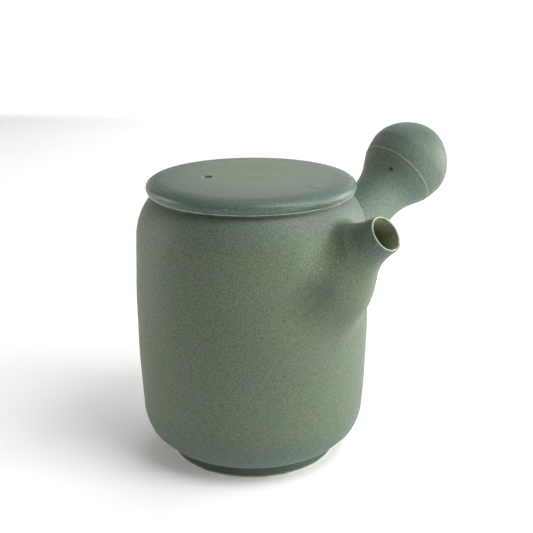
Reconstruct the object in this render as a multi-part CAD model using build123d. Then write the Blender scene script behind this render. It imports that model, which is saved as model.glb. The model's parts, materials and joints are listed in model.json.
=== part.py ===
from build123d import *
import os
from math import cos, radians, sin

# A side-handled stoneware sake server (yokode form) with a loose disc lid.
# Millimetres, +Z up. The origin is the centre of the foot ring, on the table.
# The spout points along +X, and the handle leaves the wall towards +Y.

# ---- Driving dimensions -------------------------------------------------------------------
FOOT_R = 31.4            # outer wall of the turned foot ring
FOOT_INNER_R = 27.4      # where the foot ring's inner side meets the table
FOOT_EASE = 0.6          # bevel along both edges of the foot's resting face
ARRIS_R = 36.3           # sharp edge left by turning, which overhangs the foot
ARRIS_Z = 6.8
BEVEL_R = 39.6           # top of the straight bevel that was turned above the arris
BEVEL_Z = 10.3
BELLY_LOW_R = 41.9       # lower end of the barrel's long curve
BELLY_LOW_Z = 18.0
BELLY_R = 43.05          # widest radius of the barrel-shaped wall
BELLY_Z = 47.0
BELLY_HIGH_R = 42.15     # upper end of the long curve, where the shoulder begins
BELLY_HIGH_Z = 85.0
RIM_R = 35.9             # outer edge of the flat rim that carries the lid
RIM_Z = 99.9
RIM_EASE = 0.8           # bevel at the rim's outer edge
MOUTH_R = 33.2           # inner radius of the mouth
MOUTH_EASE = 0.6         # bevel at the rim's inner edge
THROAT_DEPTH = 4.6       # straight part of the mouth, under the rim
FLOOR_Z = 8.4            # upper face of the floor
CORNER_R = 24.5          # where the floor begins to curve up into the wall
CORNER_TOP_Z = 22.0      # where that curve has become the wall
FOOT_RECESS = 4.2        # depth of the hollow under the floor
FOOT_DRAFT = 1.0         # how much the hollow narrows upwards
ARRIS_UNDERCUT = 0.5     # small notch between the foot ring and the arris
WALL = 3.2               # wall thickness of the thrown body

SPOUT_REACH = 58.65      # mouth centre, measured out from the pot's axis
SPOUT_Z = 94.2           # mouth centre, height
SPOUT_RISE = 35.6        # degrees that the spout's axis climbs
SPOUT_LIP = 1.1          # wall thickness at the lip
SPOUT_WALL = 2.8         # wall thickness at the root
SPOUT_STATIONS = ((0, 6.65), (5.5, 7.3), (12.8, 9.9), (20.1, 15.0), (27.5, 19.7), (38.0, 22.4))
                         # (distance back from the mouth, outer radius) along the spout
SPOUT_COIL = ((39.0, 76.5, 21.6, 20.5), (42.6, 77.0, 17.0, 18.0), (45.6, 77.5, 12.6, 16.2))
                         # (distance from the pot's axis, height, half width, half height)
PORT_Z = 76.0            # hole through the wall behind the spout
PORT_R = 9.5

STRAINER_R = 20.0        # outer radius of the pierced dome's sphere
STRAINER_BULGE = 6.5     # how far the dome stands into the pot
STRAINER_WALL = 2.2
STRAINER_HOLE_D = 2.4
STRAINER_PITCH = 4.2
STRAINER_RINGS = 2       # rings of holes around the central hole
STRAINER_TUCK = 0.35     # how far the dome's crown is set in from the wall's inner face

HANDLE_TURN = 78.5       # degrees from the spout to the handle, seen from above
HANDLE_RISE = 36.5       # degrees that the handle's axis climbs
HANDLE_Z = 40.1          # where the handle's axis would cross the pot's axis
BULB_OUT = 100.0         # centre of the bulb, along the handle's axis
BULB_R = 16.9
BULB_TIP = 17.0          # the tip stands a little proud of the round
SEAM_BACK = 7.3          # seam between stem and bulb, measured back from the bulb's centre
HANDLE_WALL = 3.0
STEM_STATIONS = ((-56.0, 13.4), (-40.0, 11.6), (-31.0, 10.5), (-22.0, 10.2), (-14.5, 11.9))
                         # (place along the handle from the bulb's centre, outer radius)
SEAM_R = 15.4            # radius of the stem and of the bulb at their seam
BULB_STATIONS = ((BULB_R, 0), (15.5, 6.4), (11.3, 12.1), (5.8, 15.8))
                         # (radius, place along the handle) round the bulb's far half
HANDLE_COIL = ((39.5, 69.6, 19.6, 23.6), (45.0, 72.6, 14.4, 18.4), (52.5, 78.2, 11.2, 14.0))
                         # (distance from the pot's axis, height, half width, half height)
VENT_D = 1.6             # firing vent of the closed hollow handle
VENT_BACK = 12.9         # vent, measured back from the bulb's centre
VENT_TURN = -54.0        # degrees round the handle's axis, from its level side

LID_Z = 100.0            # underside of the disc
LID_SEAT_R = 36.3        # edge of the flat underside
LID_R = 38.4             # widest radius
LID_WIDE_Z = 1.35        # height of the widest line above the underside
LID_THICK = 5.15
LID_TOP_R = 32.0         # where the flat top begins to round over
FLANGE_R = 32.4          # locating ring under the disc: 0.8 mm clear of the mouth
FLANGE_WALL = 3.0
FLANGE_DEPTH = 7.5
FLANGE_EASE = 0.8        # bevel around the flange's lower edge
STEAM_D = 3.4            # steam hole through the disc
STEAM_OUT = 15.8         # its distance from the lid's centre
STEAM_TURN = -136.4      # degrees, seen from above


def revolved(profile_lines):
    """Turn a closed outline in the XZ plane about +Z."""
    outline = make_face(Wire(profile_lines))
    return revolve(outline, axis=Axis.Z)


def at(radius, height):
    return Vector(radius, 0, height)


def arc_through(start, middle, end):
    return ThreePointArc(at(*start), at(*middle), at(*end)).edge()


def tangent_arc(start_edge, end, reverse=False):
    """An arc that carries on smoothly from an edge's end, or from its start."""
    parameter = 0 if reverse else 1
    direction = start_edge % parameter
    if reverse:
        direction = -direction
    return TangentArc([start_edge @ parameter, end], tangent=direction).edge()


# ---- Vessel: floor, wall, shoulder, rim and turned foot -----------------------------------
def outer_side():
    """The outer line from the arris up to the rim."""
    round_end = at(BEVEL_R, BEVEL_Z)
    belly = arc_through((BELLY_LOW_R, BELLY_LOW_Z), (BELLY_R, BELLY_Z), (BELLY_HIGH_R, BELLY_HIGH_Z))
    shoulder = tangent_arc(belly, at(RIM_R, RIM_Z - RIM_EASE))
    bottom_round = tangent_arc(belly, round_end, reverse=True)
    bevel = Line(at(ARRIS_R, ARRIS_Z), round_end).edge()
    return [bevel, bottom_round, belly, shoulder]


def inner_side():
    """The inner line from the floor's middle up to the mouth."""
    low = (BELLY_LOW_R - WALL, CORNER_TOP_Z)
    high = (BELLY_HIGH_R - WALL, BELLY_HIGH_Z)
    belly = arc_through(low, (BELLY_R - WALL, BELLY_Z), high)
    shoulder = tangent_arc(belly, at(MOUTH_R, RIM_Z - THROAT_DEPTH))
    corner = tangent_arc(belly, at(CORNER_R, FLOOR_Z), reverse=True)
    floor = Line(at(0, FLOOR_Z), at(CORNER_R, FLOOR_Z)).edge()
    throat = Line(shoulder @ 1, at(MOUTH_R, RIM_Z - MOUTH_EASE)).edge()
    return [floor, corner, belly, shoulder, throat]


def filled(side, low_z, high_z):
    """The solid between a side line and the pot's axis."""
    top = Polyline(side[-1] @ 1, at(0, high_z), at(0, low_z)).edges()
    start = side[0] @ 0
    bottom = Line(at(0, low_z), start).edges() if start.X > 0 else []
    return revolved([*side, *top, *bottom])


def pot_envelope():
    """The solid that the wall's outer surface encloses, with no hollow and no foot."""
    return filled(outer_side(), ARRIS_Z, RIM_Z - RIM_EASE)


def pot_cavity():
    """The space inside the vessel, up to its rim."""
    return filled(inner_side(), FLOOR_Z, RIM_Z - MOUTH_EASE)


def foot_side():
    """From the middle of the recess, round the foot ring, to the arris."""
    return Polyline(
        at(0, FOOT_RECESS),
        at(FOOT_INNER_R - FOOT_DRAFT, FOOT_RECESS),
        at(FOOT_INNER_R, FOOT_EASE),
        at(FOOT_INNER_R + FOOT_EASE, 0),
        at(FOOT_R - FOOT_EASE, 0),
        at(FOOT_R, FOOT_EASE),
        at(FOOT_R, ARRIS_Z),
        at(FOOT_R + ARRIS_UNDERCUT, ARRIS_Z + 0.8 * ARRIS_UNDERCUT),
        at(ARRIS_R, ARRIS_Z),
    ).edges()


def vessel():
    outer = outer_side()
    inner = inner_side()
    rim = Polyline(
        outer[-1] @ 1,
        at(RIM_R - RIM_EASE, RIM_Z),
        at(MOUTH_R + MOUTH_EASE, RIM_Z),
        inner[-1] @ 1,
    ).edges()
    axis_line = Line(at(0, FLOOR_Z), at(0, FOOT_RECESS)).edges()
    shell = revolved([*outer, *rim, *inner, *axis_line, *foot_side()])
    port = Cylinder(PORT_R, 6 * WALL).rotate(Axis.Y, 90)
    return shell - port.moved(Location((BELLY_R, 0, PORT_Z)))


def wall_flare(sections, turn):
    """A solid that narrows away from the wall, through upright ellipses.

    Each section is its distance from the pot's axis, its height, and its half width and half height.
    """
    ellipses = []
    for out, height, half_width, half_height in sections:
        upright = Plane(origin=(out, 0, height), x_dir=(0, 1, 0), z_dir=(1, 0, 0))
        ellipses.append(upright * Ellipse(half_width, half_height))
    return loft(ellipses).rotate(Axis.Z, turn)


# ---- Spout: a thrown cone with a full root and a fine lip ---------------------------------
def spout_frame():
    """A location with +Z pointing from the mouth back into the pot."""
    rise = radians(SPOUT_RISE)
    mouth = Plane(
        origin=(SPOUT_REACH, 0, SPOUT_Z),
        x_dir=(0, 1, 0),
        z_dir=(-cos(rise), 0, -sin(rise)),
    )
    return mouth.location


def spout_solid(wall_at_lip, wall_at_root, overrun):
    """The spout's round body, thinned by the wall, and carried past its mouth by overrun."""
    depth = SPOUT_STATIONS[-1][0]
    line = []
    for back, radius in SPOUT_STATIONS:
        wall = wall_at_lip + (wall_at_root - wall_at_lip) * min(1, 2 * back / depth)
        line.append(at(radius - wall, back))
    side = Spline(*line).edge()
    ends = [side @ 1, at(0, depth), at(0, -overrun)]
    if overrun:
        ends.append(at(line[0].X, -overrun))
    ends.append(side @ 0)
    return revolved([side, *Polyline(*ends).edges()]).moved(spout_frame())


def spout():
    passage = spout_solid(SPOUT_LIP, SPOUT_WALL, 1.0)
    return spout_solid(0, 0, 0) - passage - pot_envelope()


def spout_luting_coil():
    """The clay coil worked into the corner between the spout's root and the wall."""
    return wall_flare(SPOUT_COIL, 0) - spout_solid(0, 0, 0) - pot_envelope()


# ---- Strainer: a pierced dome luted inside the wall, over the port ------------------------
def strainer_holes(centre):
    """Hexagonal rings of holes, all pointing along the port's axis."""
    punches = []
    for column in range(-STRAINER_RINGS, STRAINER_RINGS + 1):
        for row in range(-STRAINER_RINGS, STRAINER_RINGS + 1):
            if abs(column + row) > STRAINER_RINGS:
                continue
            across = STRAINER_PITCH * (column + row / 2)
            up = STRAINER_PITCH * row * sin(radians(60))
            punch = Cylinder(STRAINER_HOLE_D / 2, 2 * STRAINER_BULGE).rotate(Axis.Y, 90)
            punches.append(punch.moved(Location((centre.X - STRAINER_R, across, centre.Z + up))))
    return punches


def spout_strainer():
    crown = BELLY_R - WALL - STRAINER_TUCK - STRAINER_BULGE
    centre = Vector(crown + STRAINER_R, 0, PORT_Z)
    dome = Sphere(STRAINER_R) - Sphere(STRAINER_R - STRAINER_WALL)
    dome = dome.moved(Location(centre))
    return (dome & pot_cavity()) - strainer_holes(centre)


# ---- Handle: a hollow thrown stem and a closed bulb ---------------------------------------
def handle_frame():
    """A location at the bulb's centre with +Z pointing out along the handle."""
    turn = radians(HANDLE_TURN)
    rise = radians(HANDLE_RISE)
    out = Vector(cos(rise) * cos(turn), cos(rise) * sin(turn), sin(rise))
    centre = Vector(0, 0, HANDLE_Z) + out * BULB_OUT
    return Plane(origin=centre, x_dir=(sin(turn), -cos(turn), 0), z_dir=out).location


def stem_solid(inset):
    """The stem from inside the wall to the seam, moved inwards by inset."""
    stations = [*STEM_STATIONS, (-SEAM_BACK, SEAM_R)]
    side = Spline(*[at(radius - inset, along) for along, radius in stations]).edge()
    ends = Polyline(side @ 1, at(0, -SEAM_BACK), at(0, (side @ 0).Z), side @ 0).edges()
    return revolved([side, *ends])


def handle_stem():
    vent = Cylinder(VENT_D / 2, 4 * HANDLE_WALL, rotation=(0, 90, 0))
    vent = vent.moved(Location((SEAM_R, 0, -VENT_BACK))).rotate(Axis.Z, VENT_TURN)
    tube = stem_solid(0) - stem_solid(HANDLE_WALL) - vent
    return tube.moved(handle_frame()) - pot_envelope()


def bulb_solid(inset):
    """The bulb, shrunk by inset; its far half is turned slightly flat at 45 degrees."""
    stations = [(SEAM_R, -SEAM_BACK), *BULB_STATIONS, (0, BULB_TIP)]
    shrink = 1 - inset / BULB_R
    line = [at(radius * shrink, along * shrink if along > 0 else along) for radius, along in stations]
    side = Spline(*line, tangents=[(0.5, 0, 1), (-1, 0, 0)]).edge()
    ends = Polyline(side @ 1, at(0, -SEAM_BACK), side @ 0).edges()
    return revolved([side, *ends])


def handle_bulb():
    return (bulb_solid(0) - bulb_solid(HANDLE_WALL)).moved(handle_frame())


def handle_luting_coil():
    """The clay coil that flares the stem's root into the wall."""
    stem = stem_solid(0).moved(handle_frame())
    return wall_flare(HANDLE_COIL, HANDLE_TURN) - stem - pot_envelope()


# ---- Lid: a thrown disc and the locating flange luted under it ----------------------------
def lid_disc():
    top_z = LID_Z + LID_THICK
    wide = at(LID_R, LID_Z + LID_WIDE_Z)
    lower_edge = Spline(at(LID_SEAT_R, LID_Z), wide, tangents=[(1, 0, 0.3), (0, 0, 1)]).edge()
    upper_edge = Spline(wide, at(LID_TOP_R, top_z), tangents=[(0, 0, 1), (-1, 0, 0)]).edge()
    ends = Polyline(upper_edge @ 1, at(0, top_z), at(0, LID_Z), lower_edge @ 0).edges()
    disc = revolved([lower_edge, upper_edge, *ends])
    turn = radians(STEAM_TURN)
    hole = Cylinder(STEAM_D / 2, 3 * LID_THICK)
    return disc - hole.moved(Location((STEAM_OUT * cos(turn), STEAM_OUT * sin(turn), LID_Z)))


def lid_flange():
    inner_r = FLANGE_R - FLANGE_WALL
    low_z = LID_Z - FLANGE_DEPTH
    section = Polyline(
        at(FLANGE_R, LID_Z),
        at(FLANGE_R - FLANGE_EASE / 2, low_z + FLANGE_EASE),
        at(FLANGE_R - FLANGE_EASE, low_z),
        at(inner_r + FLANGE_EASE, low_z),
        at(inner_r, low_z + FLANGE_EASE),
        at(inner_r, LID_Z),
        close=True,
    )
    return revolved(section.edges())


PIECES = {
    "vessel": vessel,
    "spout": spout,
    "spout_strainer": spout_strainer,
    "spout_luting_coil": spout_luting_coil,
    "handle_stem": handle_stem,
    "handle_bulb": handle_bulb,
    "handle_luting_coil": handle_luting_coil,
    "lid_disc": lid_disc,
    "lid_flange": lid_flange,
}

if __name__ == "__main__":
    os.makedirs("parts", exist_ok=True)
    for name, make in PIECES.items():
        export_step(make(), f"parts/{name}.step")
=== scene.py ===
import json
import math

import bpy
import numpy as np
from mathutils import Matrix, Vector

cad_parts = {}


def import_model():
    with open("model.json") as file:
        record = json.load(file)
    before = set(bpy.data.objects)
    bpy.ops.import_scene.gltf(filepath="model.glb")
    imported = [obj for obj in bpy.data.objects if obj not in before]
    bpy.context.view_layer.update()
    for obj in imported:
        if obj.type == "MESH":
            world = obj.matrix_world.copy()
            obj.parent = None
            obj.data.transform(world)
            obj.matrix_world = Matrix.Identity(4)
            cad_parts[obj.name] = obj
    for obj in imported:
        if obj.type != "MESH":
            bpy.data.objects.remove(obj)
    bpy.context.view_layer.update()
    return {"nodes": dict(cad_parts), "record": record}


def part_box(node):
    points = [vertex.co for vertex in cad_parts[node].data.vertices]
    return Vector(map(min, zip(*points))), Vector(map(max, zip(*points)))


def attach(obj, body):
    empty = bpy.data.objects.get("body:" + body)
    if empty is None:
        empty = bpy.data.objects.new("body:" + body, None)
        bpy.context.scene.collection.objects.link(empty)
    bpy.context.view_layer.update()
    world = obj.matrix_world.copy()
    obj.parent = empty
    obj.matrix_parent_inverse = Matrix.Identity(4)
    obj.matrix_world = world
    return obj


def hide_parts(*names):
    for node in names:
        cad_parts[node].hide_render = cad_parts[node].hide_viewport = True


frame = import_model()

MM = 0.001

# ---- Sizes, taken from the frame where it holds them --------------------------------------
vessel_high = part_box("vessel")[1]
disc_low, disc_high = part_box("lid_disc")
flange_low, flange_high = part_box("lid_flange")
foot_mount = next(m for m in frame["record"]["mounts"] if m["name"] == "foot_ring_rim")

BELLY_R = vessel_high.x
RIM_Z = vessel_high.z
FOOT_R = foot_mount["dims"]["r_mm"] * MM
LID_Z = disc_low.z
LID_TOP_Z = disc_high.z
LID_R = disc_high.x
FLANGE_R = flange_high.x

WALL = 3.2 * MM
FLOOR_Z = 8.4 * MM
FOOT_RECESS = 4.2 * MM
FOOT_RING_WIDTH = 4.0 * MM
ARRIS_R = 36.3 * MM
ARRIS_Z = 6.8 * MM
RIM_R = 35.9 * MM
RIM_ROUND = 0.8 * MM
MOUTH_R = 33.2 * MM
MOUTH_ROUND = 0.7 * MM

SPOUT_MOUTH = Vector((58.65, 0, 94.2)) * MM
SPOUT_RISE = math.radians(35.6)
SPOUT_LIP = 1.1 * MM
SPOUT_WALL = 2.8 * MM
PORT_Z = 76.0 * MM
PORT_R = 9.5 * MM

HANDLE_TURN = math.radians(78.5)
HANDLE_RISE = math.radians(36.5)
HANDLE_Z = 40.1 * MM
BULB_OUT = 100.0 * MM
BULB_R = 16.9 * MM
BULB_TIP = 17.1 * MM
SEAM_BACK = 7.3 * MM
HANDLE_WALL = 3.0 * MM
VENT_R = 0.42 * MM

STEAM_R = 1.7 * MM
STEAM_OUT = 15.8 * MM
STEAM_TURN = math.radians(-136.4)
STEAM_PLACE = Vector((STEAM_OUT * math.cos(STEAM_TURN), STEAM_OUT * math.sin(STEAM_TURN), LID_TOP_Z))

# Radii in mm, each after its distance in mm back from the spout's mouth or from the bulb's middle.
SPOUT_STATIONS = [
    (0, 6.65), (5.5, 7.3), (12.8, 9.9), (20.1, 15.0), (27.5, 19.7), (38.0, 22.4), (56.0, 23.0),
]
STEM_STATIONS = [
    (0, 16.9), (7.3, 15.4), (14.5, 11.9), (22.0, 10.2), (31.0, 10.5), (40.0, 11.6), (56.0, 13.4),
]


# ---- Outlines -----------------------------------------------------------------------------
def arc(centre, start, end, count):
    """Points of the shorter arc about centre, from start to end."""
    first = math.atan2(start[1] - centre[1], start[0] - centre[0])
    last = math.atan2(end[1] - centre[1], end[0] - centre[0])
    turn = (last - first + math.pi) % (2 * math.pi) - math.pi
    radius = math.dist(centre, start)
    angles = first + turn * np.linspace(0, 1, count)
    return np.stack([centre[0] + radius * np.cos(angles), centre[1] + radius * np.sin(angles)], 1)


def circle_centre(a, b, c):
    """Centre of the circle through three points."""
    rows = np.array([[b[0] - a[0], b[1] - a[1]], [c[0] - a[0], c[1] - a[1]]]) * 2
    sides = [np.dot(b, b) - np.dot(a, a), np.dot(c, c) - np.dot(a, a)]
    return np.linalg.solve(rows, sides)


def tangent_arc(start, direction, end, count):
    """An arc that leaves start along direction and ends at end."""
    start, end = np.array(start), np.array(end)
    normal = np.array([-direction[1], direction[0]])
    chord = end - start
    radius = np.dot(chord, chord) / (2 * np.dot(chord, normal))
    return arc(start + radius * normal, start, end, count)


def straight(start, end, count):
    return np.linspace(start, end, count)


def joined(*runs):
    """One outline from runs of points that share their end points."""
    return np.concatenate([run if i == 0 else run[1:] for i, run in enumerate(runs)])


def smooth_curve(stations):
    """A natural cubic spline through (place, radius) stations in mm, as a function in metres."""
    x, y = np.array(stations).T * MM
    step = np.diff(x)
    count = len(x)
    rows = np.eye(count)
    sides = np.zeros(count)
    for i in range(1, count - 1):
        rows[i, i - 1:i + 2] = step[i - 1], 2 * (step[i - 1] + step[i]), step[i]
        sides[i] = 6 * ((y[i + 1] - y[i]) / step[i] - (y[i] - y[i - 1]) / step[i - 1])
    bend = np.linalg.solve(rows, sides)

    def radius_at(place):
        place = np.clip(place, x[0], x[-1])
        i = np.clip(np.searchsorted(x, place) - 1, 0, count - 2)
        left, right, width = place - x[i], x[i + 1] - place, step[i]
        curved = (bend[i] * right ** 3 + bend[i + 1] * left ** 3) / (6 * width)
        from_left = (y[i] / width - bend[i] * width / 6) * right
        from_right = (y[i + 1] / width - bend[i + 1] * width / 6) * left
        return curved + from_left + from_right

    return radius_at


def body_side(belly_radius, low, high, count):
    """The barrel's long arc between two heights, in count points, and the directions at its ends."""
    low_point = np.array([41.9 * MM - BELLY_R + belly_radius, low])
    high_point = np.array([42.15 * MM - BELLY_R + belly_radius, high])
    middle = np.array([belly_radius, 47.0 * MM])
    centre = circle_centre(low_point, middle, high_point)
    belly = arc(centre, low_point, high_point, count)
    down = np.array([low_point[1] - centre[1], centre[0] - low_point[0]])
    up = np.array([centre[1] - high_point[1], high_point[0] - centre[0]])
    return belly, down / np.linalg.norm(down), up / np.linalg.norm(up)


def outer_side():
    """The body's outer line, from the arris up to the rim."""
    belly, down, up = body_side(BELLY_R, 18.0 * MM, 85.0 * MM, 56)
    round_end = (39.6 * MM, 10.3 * MM)
    bottom = tangent_arc(belly[0], down, round_end, 24)[::-1]
    shoulder = tangent_arc(belly[-1], up, (RIM_R, RIM_Z - RIM_ROUND), 40)
    return joined(straight((ARRIS_R, ARRIS_Z), round_end, 8), bottom, belly, shoulder)


def inner_side():
    """The body's inner line, from the middle of the floor up to the mouth."""
    belly, down, up = body_side(BELLY_R - WALL, 22.0 * MM, 85.0 * MM, 40)
    floor_end = (24.5 * MM, FLOOR_Z)
    corner = tangent_arc(belly[0], down, floor_end, 20)[::-1]
    throat_z = RIM_Z - 4.6 * MM
    shoulder = tangent_arc(belly[-1], up, (MOUTH_R, throat_z), 20)
    throat = straight((MOUTH_R, throat_z), (MOUTH_R, RIM_Z - MOUTH_ROUND), 8)
    return joined(straight((0, FLOOR_Z), floor_end, 10), corner, belly, shoulder, throat)


OUTER = outer_side()


def throwing_marks(turn, height):
    """Small waves that the potter's fingers leave in the wall, spiralling upwards."""
    fade = np.clip((height - 12 * MM) / (10 * MM), 0, 1) * np.clip((94 * MM - height) / (10 * MM), 0, 1)
    spiral = np.sin(2 * math.pi * height / (6.3 * MM) + turn)
    slow = np.sin(2 * math.pi * height / (23 * MM) - turn + 1.0)
    out_of_round = np.cos(2 * turn + 0.6) + 0.5 * np.cos(3 * turn - 1.1)
    return fade * MM * (0.018 * spiral + 0.045 * slow + 0.06 * out_of_round)


def wall_radius(turn, height):
    return np.interp(height, OUTER[:, 1], OUTER[:, 0]) + throwing_marks(turn, height)


# ---- Meshes -------------------------------------------------------------------------------
def grid_piece(name, points, edge, close_rows=False, poles=(False, False)):
    """A mesh from points[row, column], closed round the columns, with an edge weight per point.

    close_rows joins the last row to the first; poles shrink the first or last row to one point.
    """
    rows, columns = points.shape[:2]
    inner = slice(1 if poles[0] else 0, rows - 1 if poles[1] else rows)
    kept = points[inner]
    vertices = [tuple(p) for p in kept.reshape(-1, 3)]
    weights = list(np.broadcast_to(edge[:, None], (rows, columns))[inner].ravel())
    count = len(kept)
    faces = []
    for row in range(count if close_rows else count - 1):
        after = (row + 1) % count
        for column in range(columns):
            beside = (column + 1) % columns
            low, high = row * columns, after * columns
            faces.append((low + column, low + beside, high + beside, high + column))
    for pole, row, order in ((poles[0], 0, -1), (poles[1], count - 1, 1)):
        if pole:
            tip = len(vertices)
            vertices.append(tuple(points[0 if order < 0 else -1].mean(0)))
            weights.append(edge[0 if order < 0 else -1])
            start = row * columns
            for column in range(columns):
                pair = (start + column, start + (column + 1) % columns)
                faces.append((*pair[::order], tip))
    mesh = bpy.data.meshes.new(name)
    mesh.from_pydata(vertices, [], faces)
    attribute = mesh.attributes.new("glaze_edge", "FLOAT", "POINT")
    attribute.data.foreach_set("value", np.array(weights, np.float32))
    mesh.validate()
    face_outwards(mesh)
    mesh.shade_smooth()
    piece = bpy.data.objects.new(name, mesh)
    bpy.context.scene.collection.objects.link(piece)
    return piece


def face_outwards(mesh):
    """Turn a closed mesh's faces outwards, going by the sign of its volume."""
    count = len(mesh.polygons)
    centres, normals, areas = np.empty(count * 3), np.empty(count * 3), np.empty(count)
    mesh.polygons.foreach_get("center", centres)
    mesh.polygons.foreach_get("normal", normals)
    mesh.polygons.foreach_get("area", areas)
    heights = (centres * normals).reshape(-1, 3).sum(1)
    if (heights * areas).sum() < 0:
        mesh.flip_normals()
    mesh.update()


def lathe(name, outline, edge, segments, wobble=None, poles=(False, False)):
    """A piece turned about +Z from a closed or open (radius, height) outline."""
    turns = np.linspace(0, 2 * math.pi, segments, endpoint=False)
    radius = np.broadcast_to(outline[:, 0:1], (len(outline), segments)).copy()
    height = np.broadcast_to(outline[:, 1:2], radius.shape).copy()
    turn = np.broadcast_to(turns[None, :], radius.shape)
    if wobble is not None:
        radius, height = wobble(turn, radius, height)
    points = np.stack([radius * np.cos(turn), radius * np.sin(turn), height], 2)
    closed = not (poles[0] or poles[1])
    return grid_piece(name, points, edge, close_rows=closed, poles=poles)


def apply_modifiers(piece):
    depsgraph = bpy.context.evaluated_depsgraph_get()
    mesh = bpy.data.meshes.new_from_object(piece.evaluated_get(depsgraph))
    piece.modifiers.clear()
    piece.data = mesh


def drill(piece, cutter):
    """Take the cutter's shape out of the piece."""
    modifier = piece.modifiers.new("drill", "BOOLEAN")
    modifier.operation = "DIFFERENCE"
    modifier.solver = "EXACT"
    modifier.object = cutter
    apply_modifiers(piece)
    bpy.data.objects.remove(cutter)


def cutter(name, origin, direction, outline, edge=0.0):
    """A round tool about a line, from (radius, place along the line) pairs."""
    tool = lathe(name, np.array(outline), np.full(len(outline), edge), 48, poles=(True, True))
    turned = Vector(direction).to_track_quat("Z", "Y").to_matrix().to_4x4()
    tool.data.transform(Matrix.Translation(origin) @ turned)
    return tool


def bump_at(place, centre, width):
    return np.exp(-((place - centre) / width) ** 2)


# ---- Vessel -------------------------------------------------------------------------------
def rim_outline():
    """Over the flat rim, from its outer edge to the throat."""
    out_r, out_z = RIM_R - RIM_ROUND, RIM_Z - RIM_ROUND
    in_r, in_z = MOUTH_R + MOUTH_ROUND, RIM_Z - MOUTH_ROUND
    outer = arc((out_r, out_z), (RIM_R, out_z), (out_r, RIM_Z), 8)
    inner = arc((in_r, in_z), (in_r, RIM_Z), (MOUTH_R, in_z), 8)
    flat = straight(outer[-1], inner[0], 5)
    return joined(outer, flat, inner)


def foot_outline():
    """From the middle of the recess, over the foot ring, to the arris."""
    inner_r = FOOT_R - FOOT_RING_WIDTH
    ease = 0.6 * MM
    recess = straight((0, FOOT_RECESS), (inner_r - 1.6 * MM, FOOT_RECESS), 16)
    hollow = tangent_arc(recess[-1], (1, 0), (inner_r - 0.4 * MM, FOOT_RECESS - 1.0 * MM), 6)
    inside = straight(hollow[-1], (inner_r, ease), 5)
    toe = arc((inner_r + ease, ease), (inner_r, ease), (inner_r + ease, 0), 6)
    sole = straight((inner_r + ease, 0), (FOOT_R - ease, 0), 6)
    heel = arc((FOOT_R - ease, ease), (FOOT_R - ease, 0), (FOOT_R, ease), 6)
    outside = straight((FOOT_R, ease), (FOOT_R, ARRIS_Z - 0.6 * MM), 10)
    notch = tangent_arc(outside[-1], (0, 1), (FOOT_R + 0.9 * MM, ARRIS_Z + 0.25 * MM), 6)
    ledge = straight(notch[-1], (ARRIS_R - 0.25 * MM, ARRIS_Z - 0.05 * MM), 8)
    arris = straight(ledge[-1], (ARRIS_R, ARRIS_Z), 3)
    return joined(recess, hollow, inside, toe, sole, heel, outside, notch, ledge, arris)


def vessel():
    foot = foot_outline()
    outline = joined(foot, OUTER, rim_outline(), inner_side()[::-1])
    radius, height = outline[:, 0], outline[:, 1]
    place = np.arange(len(outline))
    outside = place < len(foot) + len(OUTER)
    sole = np.clip(1.6 - height / (0.55 * MM), 0, 1) * (place < len(foot)) * (radius > FOOT_R - 6 * MM)
    arris = bump_at(height, ARRIS_Z, 0.35 * MM) * (radius > ARRIS_R - 0.5 * MM) * outside
    edge = np.clip(sole + 0.8 * arris, 0, 1)

    def wobble(turn, radius, height):
        outside_marks = throwing_marks(turn, height)
        inside_marks = 0.7 * throwing_marks(turn + 0.4, height) * (radius > 20 * MM)
        return radius + np.where(outside[:, None], outside_marks, inside_marks), height

    piece = lathe("vessel_glazed", outline, edge, 320, wobble, poles=(True, True))
    reach = 8 * MM
    drill(piece, cutter("port_tool", Vector((BELLY_R - 2 * MM, 0, PORT_Z)), (1, 0, 0),
                        [(0, -reach), (PORT_R, -reach), (PORT_R, reach), (0, reach)]))
    return piece


# ---- Skins that leave the wall smoothly ---------------------------------------------------
def past_wall(place):
    """How far places stand out from the body's wall, level with them."""
    turn = np.arctan2(place[..., 1], place[..., 0])
    return np.hypot(place[..., 0], place[..., 1]) - wall_radius(turn, place[..., 2])


def wall_crossing(origin, back, sideways, radius_at, near, far):
    """The depth along back, between near and far, at which lines at radius_at(depth) meet the wall."""
    near = np.full(len(sideways), near)
    far = np.full(len(sideways), far)
    for _ in range(40):
        middle = (near + far) / 2
        place = origin + middle[:, None] * back + radius_at(middle)[:, None] * sideways
        outside = past_wall(place) > 0
        near = np.where(outside, middle, near)
        far = np.where(outside, far, middle)
    return (near + far) / 2


def root_crossing(origin, back, sideways, radius_at):
    """Where each line of a turned piece meets the wall."""
    return wall_crossing(origin, back, sideways, radius_at, 0.0, 52 * MM)


def hermite(start, end, start_slope, end_slope, count):
    """Points from start to end that leave and arrive along the given slopes; rows are points."""
    t = np.linspace(0, 1, count)[:, None, None]
    return ((2 * t ** 3 - 3 * t ** 2 + 1) * start + (t ** 3 - 2 * t ** 2 + t) * start_slope
            + (3 * t ** 2 - 2 * t ** 3) * end + (t ** 3 - t ** 2) * end_slope)


def unit(rows):
    return rows / np.linalg.norm(rows, axis=-1, keepdims=True)


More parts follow.
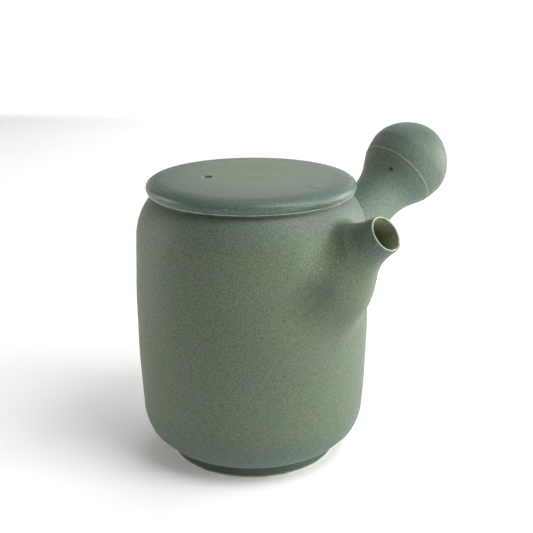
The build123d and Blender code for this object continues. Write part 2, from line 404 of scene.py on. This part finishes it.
def rooted_skin(name, origin, back, across, radius_at, before, after, start, inner_at, closing,
                edge_at, columns):
    """A turned piece whose root flows onto the wall, as a closed shell.

    back points into the pot from origin and across is square to it. before and after say how far
    the flare reaches, along the piece and along the wall, for each angle. inner_at is the
    inside radius, and closing the rows of (radius, depth) that join the outside to the inside.
    edge_at gives the share of broken glaze for a radius and a depth.
    """
    turns = np.linspace(0, 2 * math.pi, columns, endpoint=False)
    second = np.cross(back, across)
    sideways = np.cos(turns)[:, None] * across + np.sin(turns)[:, None] * second

    def on_piece(depth, radius_at):
        return np.stack([radius_at(depth), depth], 1)

    def on_wall(radius, sunk=0.0):
        depth = wall_crossing(origin, back, sideways, lambda middle: radius, -10 * MM, 70 * MM)
        return np.stack([radius, depth + sunk], 1)

    small = 0.05 * MM
    crossing = root_crossing(origin, back, sideways, radius_at)
    leave = crossing - before(turns)
    rows = [on_piece(start + (leave - start) * share, radius_at) for share in np.linspace(0, 1, 90)]
    leave_slope = unit(rows[-1] - on_piece(leave - small, radius_at))
    land_r = radius_at(crossing) + after(turns)
    land = on_wall(land_r)
    land_slope = unit(on_wall(land_r + small) - land)
    reach = np.linalg.norm(land - rows[-1], axis=1)[:, None] * 1.15
    flare = hermite(rows[-1], land, leave_slope * reach, land_slope * reach, 50)
    hem = on_wall(land_r + 0.7 * MM, 0.09 * MM)
    under_hem = on_wall(land_r - 0.3 * MM, 1.2 * MM)
    inner_end = root_crossing(origin, back, sideways, inner_at) + 0.9 * MM
    inner_rows = [on_piece(start + (inner_end - start) * share, inner_at)
                  for share in np.linspace(1, 0, 60)]
    flat = [*rows, *flare[1:], hem, under_hem, *inner_rows]
    flat += [np.broadcast_to(pair, (columns, 2)) for pair in closing]
    flat = np.stack(flat)
    points = origin + flat[..., 1:2] * back + flat[..., 0:1] * sideways
    edge = np.array([edge_at(*row.mean(0)) for row in flat])
    return grid_piece(name, points[::-1], edge[::-1], close_rows=True)


# ---- Spout --------------------------------------------------------------------------------
SPOUT_BACK = np.array([-math.cos(SPOUT_RISE), 0, -math.sin(SPOUT_RISE)])
SPOUT_DOWN = np.array([math.sin(SPOUT_RISE), 0, -math.cos(SPOUT_RISE)])
spout_line = smooth_curve(SPOUT_STATIONS)


def spout_inside(depth):
    """The bore, under a wall that thickens from the lip over half the spout."""
    wall = SPOUT_LIP + (SPOUT_WALL - SPOUT_LIP) * np.clip(depth / (19 * MM), 0, 1)
    return spout_line(depth) - wall


def underside(turns):
    """1 along the bottom of the spout, and 0 along its top."""
    return (1 + np.cos(turns)) / 2


def facing(turns, degrees):
    """1 at this angle round the spout, and 0 from a quarter turn away."""
    return np.clip(np.cos(turns - math.radians(degrees)), 0, 1) ** 2


def spout():
    columns = 256
    around = np.linspace(0, 2 * math.pi, columns, endpoint=False)
    pressed = 0.28 * facing(around, 85) + 0.55 * facing(around, 132)
    slim_r = 9 * MM

    def pressed_line(depth):
        """The spout's outside, which stays slim on the near side until its wide flare."""
        line = spout_line(depth)
        return line - pressed * np.clip(line - slim_r, 0, None)

    def pressed_inside(depth):
        return pressed_line(depth) - spout_line(depth) + spout_inside(depth)

    def before(turns):
        return (4.5 + 2.5 * underside(turns) + 2.5 * facing(turns, 80)) * MM

    def after(turns):
        return (1.8 + 2.2 * underside(turns) + 7.5 * facing(turns, 64)) * MM

    lip = SPOUT_LIP / 2
    lip_r = spout_line(lip) - lip
    inner_lip = arc((lip_r, lip), (lip_r - lip, lip), (lip_r, 0), 7)
    outer_lip = arc((lip_r, lip), (lip_r, 0), (lip_r + lip, lip), 7)
    closing = joined(inner_lip, outer_lip)[1:-1]

    def edge_at(radius, depth):
        from_crest = math.hypot(radius - lip_r + 0.4 * lip, depth)
        return float(np.clip(1.0 - from_crest / (0.45 * MM), 0, 1))

    return rooted_skin("spout_glazed", np.array(SPOUT_MOUTH), SPOUT_BACK, SPOUT_DOWN, pressed_line,
                       before, after, lip, pressed_inside, closing, edge_at, columns)


# ---- Handle -------------------------------------------------------------------------------
HANDLE_OUT = np.array([
    math.cos(HANDLE_RISE) * math.cos(HANDLE_TURN),
    math.cos(HANDLE_RISE) * math.sin(HANDLE_TURN),
    math.sin(HANDLE_RISE),
])
HANDLE_LEVEL = np.array([math.sin(HANDLE_TURN), -math.cos(HANDLE_TURN), 0])
BULB_CENTRE = np.array([0, 0, HANDLE_Z]) + BULB_OUT * HANDLE_OUT


def handle_side(degrees):
    """The direction square to the handle, turned from level."""
    turn = math.radians(degrees)
    return math.cos(turn) * HANDLE_LEVEL + math.sin(turn) * np.cross(HANDLE_OUT, HANDLE_LEVEL)


VENT_TURN = -54
VENT_PLACE = BULB_CENTRE - 12.9 * MM * HANDLE_OUT + 12.6 * MM * handle_side(VENT_TURN)
STAIN_TOP = BULB_CENTRE - 9.0 * MM * HANDLE_OUT + 14.5 * MM * handle_side(-91)
STAIN_LOW = BULB_CENTRE - 12.0 * MM * HANDLE_OUT + 13.1 * MM * handle_side(-99)
SEAM_PALENESS = 0.42
stem_curve = smooth_curve(STEM_STATIONS)


def seam_bead(depth):
    return 0.16 * MM * bump_at(depth, SEAM_BACK, 0.34 * MM)


def stem_line(depth):
    return stem_curve(depth) + seam_bead(depth)


def stem_inside(depth):
    return stem_curve(depth) - HANDLE_WALL


def handle_stem():
    def before(turns):
        return np.full(turns.shape, 9.0 * MM)

    def after(turns):
        return np.full(turns.shape, 6.0 * MM)

    def edge_at(radius, depth):
        return float(SEAM_PALENESS * bump_at(depth, SEAM_BACK, 0.3 * MM))

    inner_r, outer_r = stem_inside(SEAM_BACK), stem_line(SEAM_BACK)
    closing = straight((inner_r, SEAM_BACK), (outer_r, SEAM_BACK), 6)[1:-1]
    piece = rooted_skin("handle_stem_glazed", BULB_CENTRE, -HANDLE_OUT, HANDLE_LEVEL, stem_line,
                        before, after, SEAM_BACK, stem_inside, closing, edge_at, 224)
    deep, clear = -6 * MM, 1.2 * MM
    drill(piece, cutter("vent_tool", Vector(VENT_PLACE), handle_side(VENT_TURN), [
        (0, deep),
        (VENT_R, deep),
        (VENT_R, -0.15 * MM),
        (1.25 * VENT_R, 0.15 * MM),
        (1.6 * VENT_R, clear),
        (0, clear),
    ], edge=0.6))
    return piece


def bulb_outline(inset):
    """(radius, place along the handle) from the seam, round the bulb, to its tip."""
    turn = np.linspace(0, math.pi / 2, 90)
    flat = 1 - 0.035 * np.sin(2 * turn) ** 2
    radius, tip = BULB_R - inset, BULB_TIP - inset
    cap = np.stack([radius * np.cos(turn) * flat, tip * np.sin(turn) * flat], 1)
    back = np.linspace(SEAM_BACK, 0, 40)[:-1]
    return np.concatenate([np.stack([stem_curve(back) - inset, -back], 1), cap])


def handle_bulb():
    outside = bulb_outline(0)
    inside = bulb_outline(HANDLE_WALL)[::-1]
    place = outside[:, 1]
    groove = 0.035 * MM * (bump_at(place, 2.6 * MM, 0.5 * MM) + bump_at(place, 7.4 * MM, 0.6 * MM))
    outside[:, 0] += seam_bead(-place) - groove
    outline = np.concatenate([inside, straight(inside[-1], outside[0], 6)[1:-1], outside])
    edge = SEAM_PALENESS * bump_at(outline[:, 1], -SEAM_BACK, 0.3 * MM)
    piece = lathe("handle_bulb_glazed", outline, edge, 224, poles=(True, True))
    axes = Matrix((HANDLE_LEVEL, np.cross(HANDLE_OUT, HANDLE_LEVEL), HANDLE_OUT))
    piece.data.transform(Matrix.Translation(BULB_CENTRE) @ axes.transposed().to_4x4())
    return piece


# ---- Lid ----------------------------------------------------------------------------------
def lid_disc():
    """A blunt-edged disc: a nearly upright side with a sharp foot, under a gently falling top."""
    wide_r, wide_z = LID_R - 0.25 * MM, LID_Z + 2.0 * MM
    foot_r, flat_r, ease = LID_R - 0.75 * MM, 30.5 * MM, 0.4 * MM
    under = straight((0, LID_Z), (foot_r - ease, LID_Z), 60)
    toe = arc((foot_r - ease, LID_Z + ease), (foot_r - ease, LID_Z), (foot_r, LID_Z + ease), 8)
    side = tangent_arc((wide_r, wide_z), (0, -1), (foot_r, LID_Z + ease), 14)[::-1]
    t = np.linspace(0, math.pi / 2, 60)
    upper = np.stack([
        flat_r + (wide_r - flat_r) * np.cos(t) ** 0.77,
        wide_z + (LID_TOP_Z - wide_z) * np.sin(t) ** 0.85,
    ], 1)
    top = straight((flat_r, LID_TOP_Z), (0, LID_TOP_Z), 100)
    outline = joined(under, toe, side, upper, top)
    outside = outline[:, 0] > foot_r - 1 * MM
    edge = 0.85 * bump_at(outline[:, 1], LID_Z + 0.2 * MM, 0.22 * MM) * outside

    def wobble(turn, radius, height):
        side = np.clip((radius - 34 * MM) / (3 * MM), 0, 1)
        turned = 0.02 * np.sin(2 * math.pi * height / (0.9 * MM) + turn) + 0.05 * np.cos(2 * turn + 2.0)
        upper_face = height > LID_TOP_Z - 0.5 * MM
        swell = upper_face * (0.05 * np.cos(radius / (4.1 * MM) + 0.3 * turn) - 0.06)
        return radius + side * turned * MM, height + swell * MM * np.clip(radius / (6 * MM), 0, 1)

    piece = lathe("lid_disc_glazed", outline, edge, 320, wobble, poles=(True, True))
    below, clear = 2 * (LID_Z - LID_TOP_Z), 0.4 * MM
    drill(piece, cutter("steam_tool", STEAM_PLACE, (0, 0, 1), [
        (0, below),
        (STEAM_R, below),
        (STEAM_R, -0.5 * MM),
        (STEAM_R + 0.1 * MM, -0.2 * MM),
        (STEAM_R + 0.3 * MM, 0),
        (STEAM_R + 1.2 * MM, clear),
        (0, clear),
    ]))
    return piece


def lid_flange():
    width, round_up = 3.0 * MM, 1.3 * MM
    middle_r, round_z = FLANGE_R - width / 2, flange_low.z + round_up
    t = np.linspace(0, math.pi, 24)
    outer = straight((FLANGE_R, LID_Z), (FLANGE_R - 0.25 * MM, round_z), 12)
    toe_r = outer[-1][0] - middle_r
    toe = np.stack([middle_r + toe_r * np.cos(t), round_z - round_up * np.sin(t)], 1)
    inner = straight(toe[-1], (middle_r - width / 2, LID_Z), 12)
    outline = joined(outer, toe, inner)
    return lathe("lid_flange_glazed", outline[::-1], np.zeros(len(outline)), 256)


# ---- Materials ----------------------------------------------------------------------------
class Nodes:
    """Short names for the shader nodes of one material."""

    def __init__(self, name):
        self.material = bpy.data.materials.new(name)
        self.material.use_nodes = True
        self.tree = self.material.node_tree
        self.shader = self.tree.nodes["Principled BSDF"]

    def add(self, kind, inputs=None, **settings):
        node = self.tree.nodes.new(kind)
        for key, value in settings.items():
            setattr(node, key, value)
        for key, value in (inputs or {}).items():
            self.put(value, node.inputs[key])
        return node

    def put(self, value, socket):
        if isinstance(value, bpy.types.NodeSocket):
            self.tree.links.new(value, socket)
        else:
            socket.default_value = value

    def place(self):
        return self.add("ShaderNodeTexCoord").outputs["Object"]

    def noise(self, scale, detail, roughness):
        """Noise with features about 1/scale metres across."""
        node = self.add("ShaderNodeTexNoise", {
            "Vector": self.place(), "Scale": scale, "Detail": detail, "Roughness": roughness})
        return node.outputs["Fac"]

    def spread(self, value, low, high, to_low=0.0, to_high=1.0, smooth=True):
        node = self.add("ShaderNodeMapRange", {
            "Value": value, "From Min": low, "From Max": high, "To Min": to_low, "To Max": to_high})
        node.interpolation_type = "SMOOTHSTEP" if smooth else "LINEAR"
        return node.outputs["Result"]

    def math(self, operation, first, second):
        node = self.add("ShaderNodeMath", {0: first, 1: second}, operation=operation)
        return node.outputs[0]

    def product(self, first, second):
        return self.math("MULTIPLY", first, second)

    def mix(self, share, first, second, blend="MIX"):
        node = self.add("ShaderNodeMix", data_type="RGBA", blend_type=blend)
        self.put(share, node.inputs[0])
        self.put(first, node.inputs[6])
        self.put(second, node.inputs[7])
        return node.outputs[2]

    def tinted(self, colour, tint):
        return self.mix(1.0, colour, tint, "MULTIPLY")

    def cells(self, scale):
        """Cells about 1/scale metres across, with the distance to each one's middle."""
        return self.add("ShaderNodeTexVoronoi", {"Vector": self.place(), "Scale": scale})

    def share_of(self, cells, share):
        """1 in the few cells whose random number is over share, 0 in the others."""
        number = self.add("ShaderNodeSeparateColor", {"Color": cells.outputs["Color"]}).outputs["Red"]
        return self.spread(number, share, share + 0.01)

    def bump(self, height, distance, strength, normal=None):
        node = self.add("ShaderNodeBump", {
            "Height": height, "Distance": distance, "Strength": strength})
        if normal is not None:
            self.put(normal, node.inputs["Normal"])
        return node.outputs["Normal"]

    def height(self):
        return self.add("ShaderNodeSeparateXYZ", {"Vector": self.place()}).outputs["Z"]

    def flat_place(self):
        """The place with its height taken away."""
        node = self.add("ShaderNodeVectorMath", {0: self.place(), 1: (1, 1, 0)}, operation="MULTIPLY")
        return node.outputs["Vector"]

    def between(self, first, second):
        """The distance between two places."""
        node = self.add("ShaderNodeVectorMath", {0: first, 1: second}, operation="DISTANCE")
        return node.outputs["Value"]

    def distance_to(self, point):
        return self.between(self.place(), tuple(point))


WHITE = (1, 1, 1, 1)
CELADON = (0.099, 0.137, 0.080, 1)
GREY_GREEN = (0.104, 0.134, 0.089, 1)
BLUE_GREY = (0.086, 0.127, 0.104, 1)
PALE = (0.40, 0.46, 0.36, 1)
TAN = (0.30, 0.26, 0.13, 1)
FLECK = (0.045, 0.060, 0.040, 1)
PINHOLE = (0.50, 0.53, 0.45, 1)

# Tints multiply the glaze's colour.
BROWN_TINT = (1.12, 0.80, 0.42, 1)
DARK_TINT = (0.72, 0.50, 0.30, 1)
OCHRE_TINT = (0.95, 0.72, 0.42, 1)
DULL_OCHRE_TINT = (0.62, 0.56, 0.38, 1)
RUST_TINT = (1.6, 1.0, 0.6, 1)
SPECK_TINT = (3.5, 3.5, 3.5, 1)
# Bare clay of the steam hole's wall, brightened further as painted light.
BARE_WALL_AND_PAINTED_LIGHT_TINT = (4.5, 3.4, 4.5, 1)

# Places of the glaze's small marks, and of the painted light on the steam hole's wall.
BODY_PINHOLE = Vector((11.3, -41.5, 33.7)) * MM
LIP_TOP_OCHRE = Vector((55.3, -3.4, 98.2)) * MM
LIP_LOW_OCHRE = Vector((61.8, 2.6, 89.9)) * MM
LID_RUST = Vector((13.6, -35.7, 100.5)) * MM
LID_SPECK = Vector((18.3, -33.6, 102.3)) * MM
# Middle of the painted light on the steam hole's inner wall.
STEAM_WALL_PAINTED_LIGHT = STEAM_PLACE + Vector((-0.9, -0.8, -1.2)) * MM
LID_GREEN_PLACE = (-7.9 * MM, 9.0 * MM, 0)

# Painted light and shade round the spout's root: a place, how far it reaches, and a tint. The first
# is painted light on the root's near side, where the spout casts shade; the other two are painted
# shade in the hollows under the root.
SPOUT_PAINTED_LIGHT_AND_SHADE = [
    (Vector((43.0, -10.5, 85.5)) * MM, 13 * MM, (1.42, 1.38, 1.43, 1)),
    (Vector((40.5, -16.5, 71.5)) * MM, 12 * MM, (0.80, 0.80, 0.82, 1)),
    (Vector((46.5, -5.0, 61.5)) * MM, 12 * MM, (0.86, 0.87, 0.95, 1)),
]


def tone(n, noise, contrast, colour):
    """Make a colour lighter and darker by a noise."""
    low, high = 1 - contrast, 1 + contrast
    grey = n.mix(n.spread(noise, 0.3, 0.7), (low, low, low, 1), (high, high, high, 1))
    return n.tinted(colour, grey)


def sparse_dots(n, scale, outer, inner, share):
    """1 in the middle of the few cells whose random number is over share."""
    cells = n.cells(scale)
    return n.product(n.spread(cells.outputs["Distance"], outer, inner), n.share_of(cells, share))


def glaze(name, blueness, tint, marks, smooth=(0.44, 0.62), gloss=None):
    """Matte celadon over speckled stoneware.

    blueness and tint make the share of blue-grey and the tint at a place; some tints hold painted
    light and shade. marks are small blemishes, and on the lid painted light in the steam hole: a
    centre, a radius, how ragged the edge is and a tint. smooth is the range of roughness, and gloss
    makes the share of smoother glaze at a place.
    """
    n = Nodes(name)
    patches = n.spread(n.noise(70, 3.0, 0.55), 0.42, 0.62)
    base = n.mix(patches, CELADON, GREY_GREEN)
    base = n.mix(blueness(n), base, BLUE_GREY)
    base = n.tinted(base, tint(n))
    grain = n.noise(1150, 3.0, 0.65)
    fine_grain = n.noise(2600, 2.0, 0.6)
    base = tone(n, n.noise(28, 2.0, 0.5), 0.04, base)
    base = tone(n, grain, 0.08, base)
    base = tone(n, fine_grain, 0.36, base)
    dark = sparse_dots(n, 420, 0.34, 0.14, 0.90)
    white = sparse_dots(n, 150, 0.085, 0.05, 0.985)
    base = n.mix(n.product(dark, 0.3), base, FLECK)
    base = n.mix(n.product(white, 0.4), base, PINHOLE)
    edge = n.add("ShaderNodeAttribute", attribute_name="glaze_edge").outputs["Fac"]
    broken = n.spread(n.noise(120, 3.0, 0.6), 0.47, 0.64)
    base = n.mix(n.spread(edge, 0.15, 0.85), base, n.mix(broken, PALE, TAN))
    for centre, radius, raggedness, colour in marks:
        ragged = n.math("ADD", n.distance_to(centre), n.product(n.noise(420, 3.0, 0.6), raggedness))
        inside = n.spread(ragged, radius + 0.62 * raggedness, 0.6 * radius + 0.38 * raggedness)
        base = n.mix(inside, base, n.tinted(base, colour))
    n.put(base, n.shader.inputs["Base Color"])
    rough = n.spread(n.noise(800, 2.0, 0.6), 0.2, 0.8, *smooth, smooth=False)
    if gloss:
        rough = n.product(rough, n.spread(gloss(n), 0, 1, 1, 0.68))
    n.put(rough, n.shader.inputs["Roughness"])
    n.shader.inputs["Specular IOR Level"].default_value = 0.42
    fine = n.bump(fine_grain, 0.08 * MM, 0.7)
    medium = n.bump(grain, 0.07 * MM, 0.5, fine)
    soft = n.bump(n.noise(260, 2.0, 0.5), 0.12 * MM, 0.5, medium)
    pits = n.bump(n.math("SUBTRACT", 1.0, n.math("MAXIMUM", dark, white)), 0.05 * MM, 0.6, soft)
    n.put(pits, n.shader.inputs["Normal"])
    return n.material


def body_blueness(n):
    """Blue-grey where the glaze runs thin: low by the arris and round the shoulder."""
    low = n.spread(n.height(), 24 * MM, 9 * MM)
    high = n.spread(n.height(), 84 * MM, 97 * MM)
    both = n.math("MAXIMUM", low, n.product(high, 0.6))
    patch = n.spread(n.noise(55, 3.0, 0.6), 0.48, 0.70)
    return n.math("MAXIMUM", n.product(both, 0.75), n.product(patch, 0.3))


def painted_light_and_shade_by_spout(n, tint):
    """Painted light on the near side of the spout's root, and painted shade in the hollows of the root
    and below it.
    """
    for place, reach, colour in SPOUT_PAINTED_LIGHT_AND_SHADE:
        share = n.spread(n.distance_to(place), reach, 0.25 * reach)
        tint = n.tinted(tint, n.mix(share, WHITE, colour))
    return tint


def body_tint_with_painted_light_and_shade(n):
    """Painted shade towards the bottom and on the foot under the arris, bare ochre clay at its standing
    edge, and the spout's painted light and shade.
    """
    # Painted shade: darker towards the bottom of the body.
    low = n.mix(n.spread(n.height(), 28 * MM, 12 * MM), WHITE, (0.91, 0.93, 0.92, 1))
    # Painted shade on the foot, under the arris's overhang.
    foot_shade_share = n.spread(n.height(), ARRIS_Z - 0.3 * MM, ARRIS_Z - 0.9 * MM)
    foot = n.mix(foot_shade_share, low, (0.56, 0.66, 0.56, 1))
    bare = n.mix(n.spread(n.height(), 1.3 * MM, 0.5 * MM), foot, (1.9, 1.15, 0.5, 1))
    return painted_light_and_shade_by_spout(n, bare)


def spout_blueness(n):
    """Bluer towards the lip."""
    near_lip = n.spread(n.distance_to(SPOUT_MOUTH), 16 * MM, 5 * MM)
    return n.product(n.math("MAXIMUM", near_lip, body_blueness(n)), 0.8)


def spout_painted_light_and_shade(n):
    # The spout's only tint is the painted light and shade round its root.
    return painted_light_and_shade_by_spout(n, WHITE)


def handle_blueness(n):
    patch = n.spread(n.noise(60, 3.0, 0.6), 0.42, 0.66)
    return n.math("ADD", n.product(patch, 0.4), 0.45)


def handle_tint_and_painted_light(n):
    """Darker on the bulb, and lighter on the stem as painted light."""
    on_bulb = n.spread(n.distance_to(BULB_CENTRE), 24 * MM, 15 * MM)
    # The stem's lighter tint is painted light.
    return n.mix(on_bulb, (1.17, 1.17, 1.17, 1), (0.86, 0.88, 0.87, 1))


def lid_green_share(n):
    """1 in the wide green middle of the lid, which lies off its centre, and 0 towards the rim."""
    out = n.between(n.flat_place(), LID_GREEN_PLACE)
    ragged = n.math("ADD", out, n.product(n.noise(90, 2.0, 0.5), 5 * MM))
    return n.spread(ragged, 47 * MM, 12 * MM)


def lid_blueness(n):
    return n.math("SUBTRACT", 1.0, lid_green_share(n))


def below_lid_top(n, start, end):
    """From 0 to 1 between two depths under the lid's top."""
    return n.spread(n.height(), LID_TOP_Z - start, LID_TOP_Z - end)


def lid_tint_and_painted_light_and_shade(n):
    """Green in the middle; darker and bluer round the top's edge, partly blue-grey glaze and partly
    painted shade of the rounded edge; lighter on the roll below it as a painted highlight; a little
    darker on the side below that.
    """
    top = n.mix(lid_green_share(n), (0.63, 0.72, 0.60, 1), (0.62, 0.79, 0.53, 1))
    # Darker and bluer round the top's edge: partly blue-grey glaze, partly painted shade of the rounded
    # edge.
    edge_shade_share = n.spread(n.between(n.flat_place(), (0, 0, 0)), 23 * MM, 34 * MM)
    top = n.tinted(top, n.mix(edge_shade_share, WHITE, (0.74, 0.83, 0.78, 1)))
    # The lighter roll under the top's edge is a painted highlight.
    roll = n.mix(below_lid_top(n, 0.4 * MM, 1.4 * MM), top, (0.98, 1.03, 0.98, 1))
    return n.mix(below_lid_top(n, 1.8 * MM, 3.0 * MM), roll, (0.86, 0.91, 0.86, 1))


def lid_gloss(n):
    """The roll round the lid is smoother than its top."""
    return below_lid_top(n, 0.2 * MM, 1.1 * MM)


def inner_glaze(name):
    """Smooth olive-brown glaze of the inside."""
    n = Nodes(name)
    patches = n.spread(n.noise(60, 3.0, 0.5), 0.35, 0.65)
    base = n.mix(patches, (0.31, 0.325, 0.185, 1), (0.36, 0.385, 0.24, 1))
    fleck = n.spread(n.noise(700, 2.0, 0.6), 0.35, 0.7)
    base = n.tinted(base, n.mix(fleck, (0.9, 0.9, 0.88, 1), (1.08, 1.08, 1.08, 1)))
    n.put(base, n.shader.inputs["Base Color"])
    n.put(n.spread(n.noise(300, 2.0, 0.5), 0.2, 0.8, 0.34, 0.46), n.shader.inputs["Roughness"])
    n.put(n.bump(n.noise(420, 2.0, 0.5), 0.05 * MM, 0.35), n.shader.inputs["Normal"])
    return n.material


def floor_paper():
    """White paper that glows a little, as a lit cyclorama does."""
    n = Nodes("floor_paper")
    n.shader.inputs["Base Color"].default_value = (0.92, 0.92, 0.92, 1)
    n.shader.inputs["Roughness"].default_value = 0.9
    n.shader.inputs["Emission Color"].default_value = WHITE
    n.shader.inputs["Emission Strength"].default_value = 0.10
    return n.material


# ---- Pieces on their bodies ---------------------------------------------------------------
def dress(piece, body, slot_name, materials, *nodes):
    """Give a piece its materials and its body, and hide the CAD nodes that it stands for. slot_name is
    not used.
    """
    piece.data.materials.clear()
    for material in materials:
        piece.data.materials.append(material)
    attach(piece, body)
    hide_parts(*nodes)
    return piece


def paint_inside(piece, is_inside):
    """Give the second material to the faces whose centre and normal is_inside says yes to."""
    for face in piece.data.polygons:
        face.material_index = 1 if is_inside(face.center, face.normal) else 0


def in_vessel(centre, normal):
    out = math.hypot(centre.x, centre.y)
    faces_in = normal.x * centre.x + normal.y * centre.y < 0.02 * out
    return out < BELLY_R - WALL / 2 and FLOOR_Z - 1 * MM < centre.z < RIM_Z - 0.6 * MM and faces_in


def in_spout(centre, normal):
    offset = np.array(centre) - np.array(SPOUT_MOUTH)
    depth = offset @ SPOUT_BACK
    aside = offset - depth * SPOUT_BACK
    return depth > 0.7 * MM and aside @ np.array(normal) < -0.75 * np.linalg.norm(aside)


inside_glaze = inner_glaze("inner_glaze")
body_glaze = glaze("body_glaze", body_blueness, body_tint_with_painted_light_and_shade, [
    (BODY_PINHOLE, 0.35 * MM, 0.2 * MM, DARK_TINT),
])
spout_glaze = glaze("spout_glaze", spout_blueness, spout_painted_light_and_shade, [
    (LIP_TOP_OCHRE, 1.6 * MM, 1.2 * MM, OCHRE_TINT),
    (LIP_LOW_OCHRE, 1.6 * MM, 1.2 * MM, DULL_OCHRE_TINT),
])
handle_glaze = glaze("handle_glaze", handle_blueness, handle_tint_and_painted_light, [
    (STAIN_TOP, 2.0 * MM, 3.2 * MM, BROWN_TINT),
    (STAIN_LOW, 1.9 * MM, 3.2 * MM, BROWN_TINT),
    (VENT_PLACE, 1.3 * MM, 0.8 * MM, DARK_TINT),
])
lid_glaze = glaze("lid_glaze", lid_blueness, lid_tint_and_painted_light_and_shade, [
    (LID_RUST, 0.6 * MM, 0.5 * MM, RUST_TINT),
    (LID_SPECK, 0.28 * MM, 0.1 * MM, SPECK_TINT),
    # Painted light on the steam hole's inner wall, over its bare clay.
    (STEAM_WALL_PAINTED_LIGHT, 1.8 * MM, 0.2 * MM, BARE_WALL_AND_PAINTED_LIGHT_TINT),
], smooth=(0.44, 0.58), gloss=lid_gloss)

vessel_piece = dress(vessel(), "pot", "celadon_glaze", [body_glaze, inside_glaze], "vessel")
paint_inside(vessel_piece, in_vessel)
spout_piece = dress(spout(), "pot", "celadon_glaze", [spout_glaze, inside_glaze],
                    "spout", "spout_luting_coil")
paint_inside(spout_piece, in_spout)
dress(handle_stem(), "pot", "celadon_glaze", [handle_glaze], "handle_stem", "handle_luting_coil")
dress(handle_bulb(), "pot", "celadon_glaze", [handle_glaze], "handle_bulb")
dress(lid_disc(), "lid", "lid_glaze", [lid_glaze], "lid_disc")
dress(lid_flange(), "lid", "lid_glaze", [lid_glaze], "lid_flange")
strainer = frame["nodes"]["spout_strainer"]
strainer.data.materials.clear()
strainer.data.materials.append(inside_glaze)


# ---- Floor, light and camera --------------------------------------------------------------
# Seen from above: the ways past the pot and across the view.
BEYOND = np.array([-0.62, 0.72])
ACROSS = np.array([0.76, 0.65])
LAMP_DISTANCE = 0.9
LAMP_SIZE = 0.55


def floor():
    """A pale floor that curves up into a backdrop."""
    half, front, back, rise, bend = 1.6, -1.2, 1.5, 1.6, 0.5
    turn = np.linspace(0, math.pi / 2, 16)
    profile = [(front, 0.0), (back - bend, 0.0)]
    profile += [(back - bend + bend * math.sin(t), bend - bend * math.cos(t)) for t in turn[1:]]
    profile += [(back, rise)]
    vertices = []
    for along, height in profile:
        for aside in (-half, half):
            place = BEYOND * along + ACROSS * aside
            vertices.append((place[0], place[1], height))
    faces = [(2 * i, 2 * i + 1, 2 * i + 3, 2 * i + 2) for i in range(len(profile) - 1)]
    mesh = bpy.data.meshes.new("floor")
    mesh.from_pydata(vertices, [], faces)
    mesh.shade_smooth()
    piece = bpy.data.objects.new("floor", mesh)
    bpy.context.scene.collection.objects.link(piece)
    piece.data.materials.append(floor_paper())


def lamp(name, place, away, width, height, power, colour=WHITE[:3], spread=math.pi):
    """A rectangular soft box that shines against the direction away; the camera doesn't see it."""
    light = bpy.data.lights.new(name, "AREA")
    light.shape = "RECTANGLE"
    light.size = width
    light.size_y = height
    light.energy = power
    light.color = colour
    light.spread = spread
    box = bpy.data.objects.new(name, light)
    box.visible_camera = False
    box.location = place
    box.rotation_euler = away.to_track_quat("Z", "Y").to_euler()
    bpy.context.scene.collection.objects.link(box)


def soft_light(name, turn, rise, power, colour=WHITE[:3]):
    """A soft box that faces the pot; turn is its direction, seen from above."""
    turn, rise = math.radians(turn), math.radians(rise)
    away = Vector((math.cos(rise) * math.cos(turn), math.cos(rise) * math.sin(turn), math.sin(rise)))
    place = Vector((0, 0, RIM_Z / 2)) + LAMP_DISTANCE * away
    lamp(name, place, away, LAMP_SIZE, LAMP_SIZE, power, colour)


def backdrop_light():
    """A wide lamp beyond the pot that shines away from it, onto the floor and the backdrop."""
    place = Vector((*(0.86 * BEYOND), 0.32))
    away = -Vector((*BEYOND, -1.1)).normalized()
    lamp("backdrop_light", place, away, 1.8, 0.1, 3.5, spread=math.radians(90))


def world(strength):
    scene_world = bpy.data.worlds.new("studio")
    scene_world.use_nodes = True
    background = scene_world.node_tree.nodes["Background"]
    background.inputs["Color"].default_value = WHITE
    background.inputs["Strength"].default_value = strength
    bpy.context.scene.world = scene_world


def studio():
    """A wide window to the camera's right, and weaker light from behind and from the left."""
    soft_light("window_above", 8, 55, 5.6)
    soft_light("window_near", 15, 18, 5.4)
    soft_light("window_far", 60, 8, 6.8)
    soft_light("behind_above", 120, 55, 1.9)
    soft_light("behind_low", 120, 8, 1.2)
    soft_light("left", 210, 8, 3.7, (1, 0.98, 0.90))
    backdrop_light()


CAMERA_TURN = math.radians(-48.6)
CAMERA_OUT = 338.23 * MM
CAMERA_HEIGHT = 180.7 * MM
CAMERA_PAN = math.radians(0.91)
CAMERA_TILT = math.radians(18.02)
CAMERA_ROLL = math.radians(-0.26)
CAMERA_LENS = 64.5


def camera():
    """A camera that looks down on the pot from its spout's side."""
    data = bpy.data.cameras.new("camera")
    data.sensor_width = 36.0
    data.lens = CAMERA_LENS
    data.clip_start = 0.01
    data.clip_end = 20
    eye = bpy.data.objects.new("camera", data)
    heading = CAMERA_TURN + math.pi - CAMERA_PAN
    level = Vector((math.cos(heading), math.sin(heading), 0))
    look = math.cos(CAMERA_TILT) * level - Vector((0, 0, math.sin(CAMERA_TILT)))
    right = Vector((math.sin(heading), -math.cos(heading), 0))
    up = right.cross(look)
    rolled_right = math.cos(CAMERA_ROLL) * right + math.sin(CAMERA_ROLL) * up
    rolled_up = math.cos(CAMERA_ROLL) * up - math.sin(CAMERA_ROLL) * right
    turned = Matrix((rolled_right, rolled_up, -look)).transposed()
    out = CAMERA_OUT * Vector((math.cos(CAMERA_TURN), math.sin(CAMERA_TURN), 0))
    eye.matrix_world = Matrix.Translation(out + Vector((0, 0, CAMERA_HEIGHT))) @ turned.to_4x4()
    bpy.context.scene.collection.objects.link(eye)
    bpy.context.scene.camera = eye


floor()
world(0.12)
studio()
camera()
bpy.context.scene.view_settings.view_transform = "Standard"
